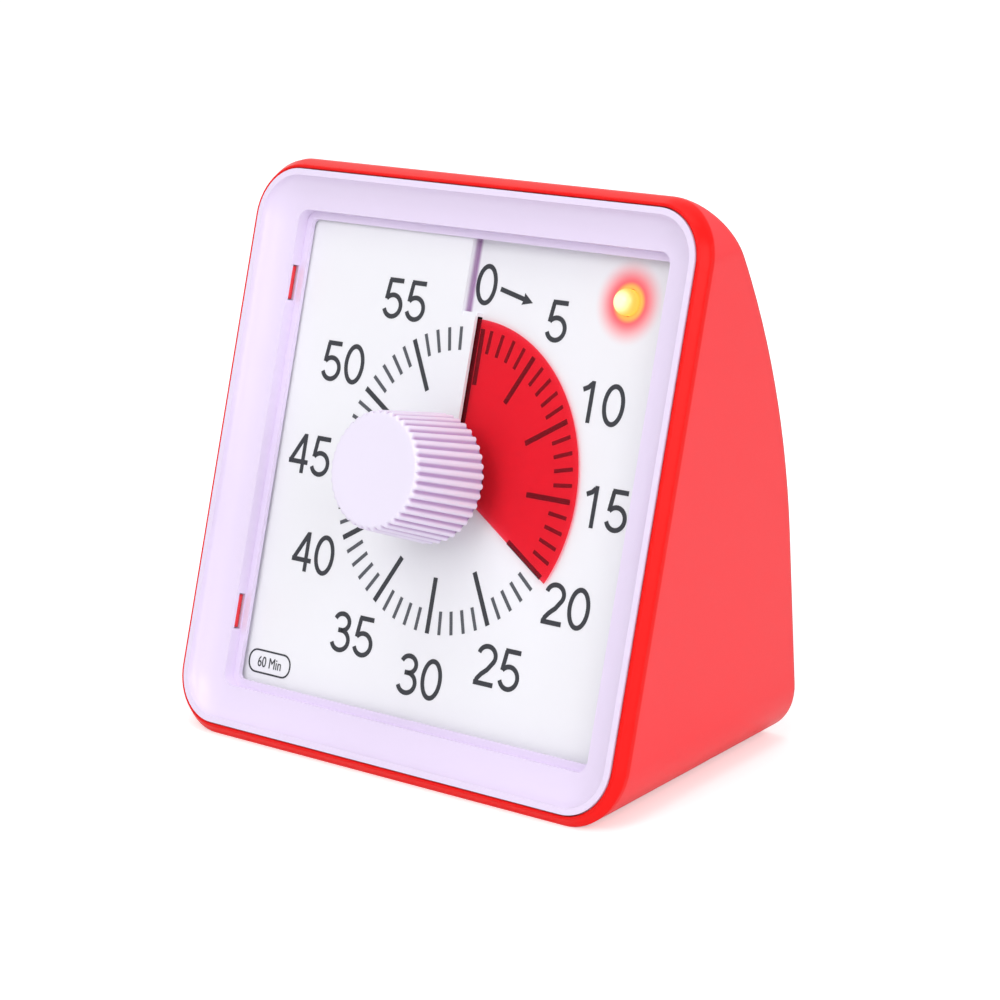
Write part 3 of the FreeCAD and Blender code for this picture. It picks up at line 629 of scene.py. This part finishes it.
def film_red():
    """Clear red film: light passes straight through and is tinted each time."""
    material = moulded(
        "Clear red film", colours().film_red, gloss=(0.16, 0.22), grain=(900.0, 0.04), drift=0.02)
    shader = shader_of(material)
    shader.inputs["Transmission Weight"].default_value = 0.92
    shader.inputs["IOR"].default_value = 1.08
    return material


def ink_dark():
    """Near-black print of the numbers and the five-minute ticks."""
    return moulded("Dark ink", colours().ink, gloss=(0.45, 0.6), grain=(6000.0, 0.1), drift=0.1)


def ink_light():
    """Dark grey print of the minute ticks."""
    return moulded("Grey ink", colours().ink_light, gloss=(0.45, 0.6), grain=(6000.0, 0.1), drift=0.1)


def lamp_lit():
    """Lit lens: yellow-white at the tip, orange towards its foot."""
    material = moulded("Lit lamp lens", (0.5, 0.2, 0.04), gloss=(0.1, 0.15), grain=(500.0, 0.02))
    nodes, links = material.node_tree.nodes, material.node_tree.links
    heat = ramp(nodes, links, away_from(nodes, links, LAMP_U, LAMP_V, 2.3 * MM), 0.5 * MM, 2.1 * MM)
    glow = mixed(nodes, links, heat, (1.0, 0.92, 0.55), (1.0, 0.42, 0.06))
    links.new(glow, shader_of(material).inputs["Emission Color"])
    shader_of(material).inputs["Emission Strength"].default_value = 1.25
    return material


def cell_jacket():
    """Plain cell sleeve: dark along most of its length with one pale band."""
    dark = (0.03, 0.035, 0.05)
    pale = (0.55, 0.56, 0.58)
    pattern_length = 30.0 * MM
    band_start = 24.0 * MM
    material = moulded("Plain cell sleeve", dark, gloss=(0.25, 0.35), grain=(900.0, 0.05))
    nodes, links = material.node_tree.nodes, material.node_tree.links
    place = nodes.new("ShaderNodeTexCoord")
    split = nodes.new("ShaderNodeSeparateXYZ")
    links.new(place.outputs["Object"], split.inputs[0])
    along = nodes.new("ShaderNodeMath")
    along.operation = "WRAP"
    along.inputs[1].default_value = pattern_length
    along.inputs[2].default_value = 0.0
    links.new(split.outputs["X"], along.inputs[0])
    band = math_node(nodes, links, "GREATER_THAN", along.outputs[0], band_start)
    links.new(mixed(nodes, links, band, dark, pale), nodes["Group"].inputs["Color"])
    return material


def inner_finishes():
    """Finishes of the pieces inside, by the record's slot."""
    return {
        "black_plastic": moulded("Black moulding", (0.02, 0.02, 0.022), gloss=(0.45, 0.6), grain=(1500.0, 0.3)),
        "natural_plastic": moulded("Natural moulding", (0.72, 0.70, 0.62), gloss=(0.35, 0.5)),
        "steel": moulded("Plated steel", (0.62, 0.62, 0.62), gloss=(0.22, 0.38), metallic=1.0),
        "magnet": moulded("Ferrite", (0.05, 0.05, 0.055), gloss=(0.5, 0.7), grain=(2200.0, 0.4)),
        "brass": moulded("Turned brass", (0.75, 0.52, 0.20), gloss=(0.2, 0.35), metallic=1.0),
        "copper_winding": moulded("Enamelled copper", (0.62, 0.22, 0.09), gloss=(0.3, 0.5), metallic=0.7),
        "board_green": moulded("Solder mask", (0.01, 0.12, 0.04), gloss=(0.3, 0.45), grain=(700.0, 0.2)),
        "ceramic": moulded("Fired chip", (0.30, 0.22, 0.15), gloss=(0.4, 0.6)),
        "nickel": moulded("Nickel strip", (0.68, 0.67, 0.63), gloss=(0.18, 0.3), metallic=1.0),
        "lead_red": moulded("Red insulation", (0.55, 0.01, 0.01), gloss=(0.35, 0.5)),
        "lead_black": moulded("Black insulation", (0.012, 0.012, 0.012), gloss=(0.35, 0.5)),
        "lead_white": moulded("White insulation", (0.7, 0.7, 0.7), gloss=(0.35, 0.5)),
        "cell_jacket": cell_jacket(),
    }


def give(piece, material):
    """Makes the material the piece's only one."""
    piece.data.materials.clear()
    piece.data.materials.append(material)


def soften(node, angle):
    """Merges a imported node's loose triangles and shades it smoothly up to an angle in degrees."""
    node.data.polygons.foreach_set("use_smooth", np.ones(len(node.data.polygons), bool))
    weld = node.modifiers.new("Weld", "WELD")
    weld.merge_threshold = 0.005 * MM
    split = node.modifiers.new("Edge Split", "EDGE_SPLIT")
    split.split_angle = math.radians(angle)


def knob_surface():
    """The knob, turned about the face's axis: radius = outline - rib depth * share * groove.

    The outline runs out under the foot, up the tapered side, round the front edge and in over the dished
    front. groove = ((1 - cos(ribs * turn)) / 2) ** 1.6, and the share fades it out round the front edge.
    """
    size = sizes()
    points_per_rib = 12
    foot_rings, side_rings, edge_rings, front_rings = 5, 26, 6, 8
    foot_inset = 0.3 * MM
    dish = 0.12 * MM
    turn = np.linspace(0, 2 * np.pi, size.knob_ribs * points_per_rib, endpoint=False)
    side = np.linspace(0, 1, side_rings)
    edge = np.linspace(0, np.pi / 2, edge_rings + 1)[1:]
    side_top = size.knob_high - size.knob_rim
    front = size.knob_top - size.knob_rim
    foot_r = np.linspace(0.0, size.knob_base - foot_inset, foot_rings)
    side_r = size.knob_base + (size.knob_top - size.knob_base) * side
    edge_r = front + size.knob_rim * np.cos(edge)
    front_r = np.linspace(front, 0.0, front_rings + 1)[1:]
    foot_w = np.full(foot_rings, size.knob_low)
    side_w = size.knob_low + (side_top - size.knob_low) * side
    edge_w = side_top + size.knob_rim * np.sin(edge)
    front_w = size.knob_high - dish * (1 - (front_r / size.knob_top) ** 2)
    radius = np.concatenate([foot_r, side_r, edge_r, front_r])
    height = np.concatenate([foot_w, side_w, edge_w, front_w])
    share = np.concatenate([
        np.zeros(foot_rings), np.ones(side_rings), np.cos(edge) ** 2, np.zeros(front_rings),
    ])
    groove = (0.5 - 0.5 * np.cos(size.knob_ribs * turn)) ** 1.6
    ring = radius[:, None] - size.rib_depth * share[:, None] * groove
    return grid_mesh("knob_body", on_face(-ring * np.sin(turn), ring * np.cos(turn), height[:, None]))


def lamp_surface():
    """The lamp's lens, turned about its own axis: a straight side under a dome of a quarter ellipse."""
    size = sizes()
    turn = np.linspace(0, 2 * np.pi, 48, endpoint=False)
    rise = np.linspace(0, np.pi / 2, 14)
    radius = np.concatenate([[0.0, size.lamp_r], size.lamp_r * np.cos(rise[:-1]), [0.0]])
    height = np.concatenate([[size.lamp_low, size.lamp_low], size.lamp_side + size.lamp_dome * np.sin(rise)])
    u = LAMP_U - radius[:, None] * np.sin(turn)
    v = LAMP_V + radius[:, None] * np.cos(turn)
    return grid_mesh("lamp_lens", on_face(u, v, height[:, None]))


def sheet_prism(outline, low, high):
    """A thin closed prism over an anticlockwise outline in u and v that follows the dial sheet's height."""
    u, v = outline[:, 0], outline[:, 1]
    rest = dial_height(u, v)
    count = len(outline)
    points = np.concatenate([on_face(u, v, rest + low), on_face(u, v, rest + high)])
    bottom = [tuple(range(count - 1, -1, -1))]
    top = [tuple(range(count, 2 * count))]
    walls = [(i, (i + 1) % count, count + (i + 1) % count, count + i) for i in range(count)]
    return points, bottom + top + walls


def merged_mesh(name, solids):
    """One mesh from several lists of points and faces."""
    points, faces, start = [], [], 0
    for some_points, some_faces in solids:
        points.append(some_points)
        faces += [tuple(start + index for index in one) for one in some_faces]
        start += len(some_points)
    mesh = bpy.data.meshes.new(name)
    mesh.from_pydata(np.concatenate(points).tolist(), [], faces)
    return mesh


def tick(minute, inner, width):
    """Outline of one tick: a rectangle along the radius at the minute's clockwise angle."""
    size = sizes()
    angle = math.radians(6.0 * minute)
    along = np.array((math.sin(angle), math.cos(angle)))
    across = np.array((-along[1], along[0]))
    # The tick at zero stands wholly on the low side of the slit.
    shift = -0.75 * width if minute == 0 else 0.0
    corners = [
        (size.tick_outer, width / 2), (inner, width / 2), (inner, -width / 2), (size.tick_outer, -width / 2),
    ]
    return np.array([along * reach + across * (side + shift) for reach, side in corners])


def bow(middle, half_u, half_v, start, end, steps=28):
    """Points of an ellipse's arc between two angles in degrees, anticlockwise from the right."""
    turn = np.radians(np.linspace(start, end, steps))
    return np.stack([middle[0] + half_u * np.cos(turn), middle[1] + half_v * np.sin(turn)], axis=1)


def digit_paths(digit):
    """Centre lines of a plain upright digit in a box 0.5 wide and 1 high, and whether each is a ring.

    Only the digits from 0 to 5 stand on the dial.
    """
    if digit == "0":
        return [(bow((0.25, 0.5), 0.215, 0.45, 0, 360, 49)[:-1], True)]
    if digit == "1":
        stem = np.array([(0.30, 0.0), (0.30, 1.0)])
        flag = np.array([(0.27, 0.93), (0.20, 0.84), (0.08, 0.77)])
        return [(stem, False), (flag, False)]
    if digit == "2":
        top = bow((0.25, 0.72), 0.205, 0.232, 168, -38)
        foot = np.array([(0.30, 0.40), (0.17, 0.27), (0.085, 0.15), (0.055, 0.05)])
        base = np.array([(0.01, 0.05), (0.49, 0.05)])
        return [(np.concatenate([top, foot]), False), (base, False)]
    if digit == "3":
        upper = bow((0.235, 0.745), 0.185, 0.207, 162, -90)
        lower = bow((0.24, 0.295), 0.215, 0.247, 90, -160)
        bar = np.array([(0.16, 0.54), (0.26, 0.54)])
        return [(upper, False), (lower, False), (bar, False)]
    if digit == "4":
        slope = np.array([(0.36, 0.95), (0.04, 0.285)])
        bar = np.array([(0.0, 0.285), (0.51, 0.285)])
        stem = np.array([(0.375, 0.0), (0.375, 1.0)])
        return [(slope, False), (bar, False), (stem, False)]
    if digit != "5":
        raise ValueError("no stroke for the digit " + digit)
    bowl = bow((0.24, 0.315), 0.215, 0.268, 142, -160)
    back = np.array([(0.115, 0.95), (0.062, 0.47)])
    bar = np.array([(0.08, 0.95), (0.45, 0.95)])
    return [(back, False), (bowl, False), (bar, False)]


def ribbon(path, ring, half, low, high):
    """A flat ribbon along a path: its sides stand off along the path's normal, mitred at each point.

    side = path +- normal * half / cos(half the turn at the point)
    """
    after = np.roll(path, -1, axis=0) - path
    before = path - np.roll(path, 1, axis=0)
    if not ring:
        after[-1] = before[-1]
        before[0] = after[0]
    after /= np.linalg.norm(after, axis=1)[:, None]
    before /= np.linalg.norm(before, axis=1)[:, None]
    along = after + before
    along /= np.linalg.norm(along, axis=1)[:, None]
    reach = half / np.maximum(np.sum(along * after, axis=1), 0.6)
    normal = np.stack([-along[:, 1], along[:, 0]], axis=1) * reach[:, None]
    left, right = path + normal, path - normal
    rows = []
    for side, height in ((right, low), (right, high), (left, high), (left, low)):
        rows.append(on_face(side[:, 0], side[:, 1], dial_height(side[:, 0], side[:, 1]) + height))
    points = np.concatenate(rows)
    count = len(path)
    faces = []
    for row in range(4):
        here, there = row * count, (row + 1) % 4 * count
        for index in range(count if ring else count - 1):
            after_index = (index + 1) % count
            faces.append((here + index, here + after_index, there + after_index, there + index))
    if not ring:
        faces.append(tuple(row * count for row in range(4)))
        faces.append(tuple(row * count + count - 1 for row in (3, 2, 1, 0)))
    return points, faces


def number_solids(words, height, centre, low, high):
    """Ribbons for the digits of a number, set side by side about a centre."""
    size = sizes()
    step = size.number_step * height
    start = -0.5 * step * (len(words) - 1)
    solids = []
    for place, digit in enumerate(words):
        offset = np.array([centre[0] + start + place * step, centre[1]])
        for path, ring in digit_paths(digit):
            placed = (path - np.array([0.25, 0.5])) * height * np.array([size.number_stretch, 1.0]) + offset
            solids.append(ribbon(placed, ring, size.number_stroke / 2, low, high))
    return solids


def text_mesh(words, height, centre, squeeze):
    """Flat lettering centred on a point and laid on the dial sheet, its width squeezed."""
    size = sizes()
    curve = bpy.data.curves.new("lettering", "FONT")
    curve.body = words
    curve.extrude = 0.5
    curve.resolution_u = 8
    holder = bpy.data.objects.new("lettering", curve)
    bpy.context.scene.collection.objects.link(holder)
    bpy.context.view_layer.update()
    mesh = bpy.data.meshes.new_from_object(holder.evaluated_get(bpy.context.evaluated_depsgraph_get()))
    bpy.data.objects.remove(holder)
    joined = bmesh.new()
    joined.from_mesh(mesh)
    bmesh.ops.remove_doubles(joined, verts=joined.verts, dist=1e-5)
    joined.to_mesh(mesh)
    joined.free()
    spots = np.empty(len(mesh.vertices) * 3)
    mesh.vertices.foreach_get("co", spots)
    spots = spots.reshape(-1, 3)
    low, high = spots.min(axis=0), spots.max(axis=0)
    scale = height / (high[1] - low[1])
    u = (spots[:, 0] - (low[0] + high[0]) / 2) * scale * squeeze + centre[0]
    v = (spots[:, 1] - (low[1] + high[1]) / 2) * scale + centre[1]
    w = dial_height(u, v) + size.print_lift + np.where(spots[:, 2] > 0, size.print_thick, 0.0)
    placed = on_face(u, v, w)
    mesh.vertices.foreach_set("co", placed.reshape(-1))
    mesh.update()
    return mesh


def ring_outline(half_u, half_v, radius, centre, steps=8):
    """A rounded rectangle's outline, anticlockwise, its corners as quarter circles."""
    turn = np.linspace(0, np.pi / 2, steps)
    quarter = np.stack([np.cos(turn), np.sin(turn)], axis=1) * radius
    corners = []
    for index, (sign_u, sign_v) in enumerate(((1, 1), (-1, 1), (-1, -1), (1, -1))):
        cosine, sine = math.cos(index * math.pi / 2), math.sin(index * math.pi / 2)
        spin = np.array([[cosine, -sine], [sine, cosine]])
        middle = np.array([sign_u * (half_u - radius), sign_v * (half_v - radius)])
        corners.append(quarter @ spin.T + middle)
    return np.concatenate(corners) + np.array(centre)


def add_print(name, mesh, ink):
    """Adds a flat print on the dial sheet in one ink."""
    piece = add_piece(name, mesh, "housing", smooth=False)
    give(piece, ink)


class TIMER_OT_knob(bpy.types.Operator):
    """Ribbed knob with a softly dished front, in place of the plain one"""

    bl_idname = "timer.knob"
    bl_label = "Ribbed Knob"

    def execute(self, context):
        need_nodes("knob")
        piece = add_piece("knob_ribbed", knob_surface(), "dial_knob")
        split = piece.modifiers.new("Edge Split", "EDGE_SPLIT")
        split.split_angle = math.radians(50)
        give(piece, knob_white())
        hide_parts("knob")
        return {"FINISHED"}


class TIMER_OT_lamp(bpy.types.Operator):
    """Round-nosed lens of the lit lamp, filling its hole in the dial"""

    bl_idname = "timer.lamp"
    bl_label = "Lit Lamp"

    def execute(self, context):
        need_nodes("led_lens")
        piece = add_piece("lamp_lens", lamp_surface(), "housing")
        give(piece, lamp_lit())
        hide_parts("led_lens")
        return {"FINISHED"}


class TIMER_OT_prints(bpy.types.Operator):
    """Ticks, numbers, arrow and the small 60 Min mark printed on the dial"""

    bl_idname = "timer.prints"
    bl_label = "Dial Prints"

    def execute(self, context):
        need_nodes("dial_plate")
        size = sizes()
        low = size.print_lift
        high = size.print_lift + size.print_thick
        dark, grey = ink_dark(), ink_light()
        fives = [tick(minute, size.tick_long, size.tick_wide) for minute in range(0, 60, 5)]
        ones = [tick(minute, size.tick_short, size.tick_thin) for minute in range(60) if minute % 5]
        for name, outlines, ink in (("ticks_long", fives, dark), ("ticks_short", ones, grey)):
            solids = [sheet_prism(outline, low, high) for outline in outlines]
            add_print(name, merged_mesh(name, solids), ink)
        for minute in range(0, 60, 5):
            self.number(minute, low, high, dark)
        self.arrow(low, high, dark)
        self.minute_mark(low, high, dark)
        return {"FINISHED"}

    def number(self, minute, low, high, ink):
        """The number of a five-minute tick, upright beyond the tick's end."""
        size = sizes()
        angle = math.radians(6.0 * minute)
        u = size.number_radius * math.sin(angle)
        v = size.number_radius * math.cos(angle)
        if minute == 0:
            u -= 0.15 * MM
        name = "number_%02d" % minute
        solids = number_solids(str(minute), size.number_height, (u, v), low, high)
        add_print(name, merged_mesh(name, solids), ink)

    def arrow(self, low, high, ink):
        """A straight arrow from the zero towards the five."""
        start = np.array((2.6, 27.45)) * MM
        tip = np.array((8.9, 26.1)) * MM
        shaft_half = 0.34 * MM
        head_half = 0.85 * MM
        head_length = 1.9 * MM
        neck_length = 1.8 * MM
        along = (tip - start) / np.linalg.norm(tip - start)
        across = np.array((-along[1], along[0]))
        back = tip - along * head_length
        neck = tip - along * neck_length
        outline = np.array([
            start - across * shaft_half, neck - across * shaft_half, back - across * head_half, tip,
            back + across * head_half, neck + across * shaft_half, start + across * shaft_half,
        ])
        add_print("arrow", merged_mesh("arrow", [sheet_prism(outline, low, high)]), ink)

    def minute_mark(self, low, high, ink):
        """A small rounded frame round the words 60 Min."""
        centre = (-29.3 * MM, -30.9 * MM)
        half_u = 4.3 * MM
        half_v = 1.75 * MM
        corner = 1.6 * MM
        line = 0.25 * MM
        outer = ring_outline(half_u, half_v, corner, centre)
        inner = ring_outline(half_u - line, half_v - line, corner - line, centre)
        rows = []
        for side, height in ((outer, low), (outer, high), (inner, high), (inner, low)):
            rows.append(on_face(side[:, 0], side[:, 1], dial_height(side[:, 0], side[:, 1]) + height))
        add_print("minute_frame", grid_mesh("minute_frame", np.stack(rows), looped=True), ink)
        add_print("minute_words", text_mesh("60 Min", 1.55 * MM, centre, 0.8), ink)


class TIMER_OT_finishes(bpy.types.Operator):
    """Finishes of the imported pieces: red housing, lilac white bezel, satin dial, film, lamp and the inside"""

    bl_idname = "timer.finishes"
    bl_label = "Finishes"

    def execute(self, context):
        finishes = inner_finishes()
        finishes["red_gloss"] = shell_red()
        finishes["white_gloss"] = bezel_white()
        finishes["dial_white"] = dial_white()
        finishes["film_red"] = film_red()
        finishes["led_amber"] = lamp_lit()
        slots = {one["node"]: one["material_slot"] for one in frame["record"]["subparts"]}
        unknown = sorted(set(slots.values()) - set(finishes))
        if unknown:
            raise RuntimeError("no finish for " + ", ".join(unknown))
        for name, node in frame["nodes"].items():
            give(node, finishes[slots[name]])
            soften(node, 32)
        return {"FINISHED"}


class TIMER_OT_stage(bpy.types.Operator):
    """Pale floor, soft lights and the camera of the picture"""

    bl_idname = "timer.stage"
    bl_label = "Stage"

    def execute(self, context):
        self.floor(context.scene)
        self.world(context.scene)
        self.lights(context.scene)
        self.camera(context.scene)
        context.scene.view_settings.view_transform = "Standard"
        return {"FINISHED"}

    def floor(self, scene):
        """A plain pale floor that looks lighter to the camera, so that it runs into the background."""
        mesh = bpy.data.meshes.new("floor")
        corners = [
            (-FLOOR_HALF, -FLOOR_HALF, 0), (FLOOR_HALF, -FLOOR_HALF, 0),
            (FLOOR_HALF, FLOOR_HALF, 0), (-FLOOR_HALF, FLOOR_HALF, 0),
        ]
        mesh.from_pydata(corners, [], [(0, 1, 2, 3)])
        floor = bpy.data.objects.new("floor", mesh)
        scene.collection.objects.link(floor)
        material = bpy.data.materials.new("Pale floor")
        material.use_nodes = True
        shader = shader_of(material)
        shader.inputs["Base Color"].default_value = (0.92, 0.92, 0.92, 1.0)
        shader.inputs["Roughness"].default_value = 0.8
        shader.inputs["Emission Color"].default_value = (1.0, 1.0, 1.0, 1.0)
        nodes, links = material.node_tree.nodes, material.node_tree.links
        path = nodes.new("ShaderNodeLightPath")
        lift = math_node(nodes, links, "MULTIPLY", path.outputs["Is Camera Ray"], FLOOR_LIFT)
        links.new(lift, shader.inputs["Emission Strength"])
        mesh.materials.append(material)

    def world(self, scene):
        """White surroundings, dimmer as a light than they look to the camera and in reflections."""
        world = bpy.data.worlds.new("Studio")
        scene.world = world
        world.use_nodes = True
        nodes, links = world.node_tree.nodes, world.node_tree.links
        back = nodes["Background"]
        back.inputs["Color"].default_value = (1.0, 1.0, 1.0, 1.0)
        path = nodes.new("ShaderNodeLightPath")
        seen = math_node(
            nodes, links, "MAXIMUM", path.outputs["Is Camera Ray"], path.outputs["Is Glossy Ray"])
        strength = nodes.new("ShaderNodeMapRange")
        strength.inputs["To Min"].default_value = WORLD_LIGHT
        strength.inputs["To Max"].default_value = WORLD_SEEN
        links.new(seen, strength.inputs["Value"])
        links.new(strength.outputs["Result"], back.inputs["Strength"])

    def lights(self, scene):
        """Soft square lights, each turned to the object's middle."""
        middle = (CAD_BOX[0] + CAD_BOX[1]) / 2
        for name, place, size, power in LIGHTS:
            lamp = bpy.data.lights.new(name, "AREA")
            lamp.size = size
            lamp.energy = power
            holder = bpy.data.objects.new(name, lamp)
            scene.collection.objects.link(holder)
            holder.location = place
            holder.rotation_euler = (middle - holder.location).to_track_quat("-Z", "Y").to_euler()

    def camera(self, scene):
        """Stands where the picture was taken from, worked out from the dial's ticks in it."""
        camera = bpy.data.cameras.new("camera")
        camera.sensor_width = CAMERA_SENSOR_MM
        camera.lens = CAMERA_LENS_MM
        camera.clip_start = 0.01
        holder = bpy.data.objects.new("camera", camera)
        scene.collection.objects.link(holder)
        axes = np.stack([FACE_U, FACE_V, FACE_W])
        right = np.array(CAMERA_RIGHT) @ axes
        up = np.array(CAMERA_UP) @ axes
        right /= np.linalg.norm(right)
        up -= right * np.dot(up, right)
        up /= np.linalg.norm(up)
        matrix = np.identity(4)
        matrix[:3, 0] = right
        matrix[:3, 1] = up
        matrix[:3, 2] = np.cross(right, up)
        matrix[:3, 3] = on_face(*CAMERA_PLACE)
        holder.matrix_world = Matrix(matrix.tolist())
        scene.camera = holder


class TIMER_PT_panel(bpy.types.Panel):
    """Lists the timer's pieces in the sidebar"""

    bl_idname = "TIMER_PT_panel"
    bl_label = "Visual Countdown Timer"
    bl_space_type = "VIEW_3D"
    bl_region_type = "UI"
    bl_category = "Timer"

    def draw(self, context):
        for operator in PIECE_OPERATORS:
            self.layout.operator(operator.bl_idname)


PIECE_OPERATORS = (TIMER_OT_finishes, TIMER_OT_knob, TIMER_OT_lamp, TIMER_OT_prints, TIMER_OT_stage)
CLASSES = (TimerSizes, TimerColours, *PIECE_OPERATORS, TIMER_PT_panel)


def register():
    """Adds the classes and the scene's settings."""
    for one in CLASSES:
        bpy.utils.register_class(one)
    bpy.types.Scene.timer_sizes = bpy.props.PointerProperty(type=TimerSizes)
    bpy.types.Scene.timer_colours = bpy.props.PointerProperty(type=TimerColours)


def unregister():
    """Takes the settings and classes away again."""
    del bpy.types.Scene.timer_colours
    del bpy.types.Scene.timer_sizes
    for one in reversed(CLASSES):
        bpy.utils.unregister_class(one)


def main():
    """Makes every piece and the stage."""
    register()
    bpy.ops.timer.finishes()
    bpy.ops.timer.knob()
    bpy.ops.timer.lamp()
    bpy.ops.timer.prints()
    bpy.ops.timer.stage()


if __name__ == "__main__":
    main()
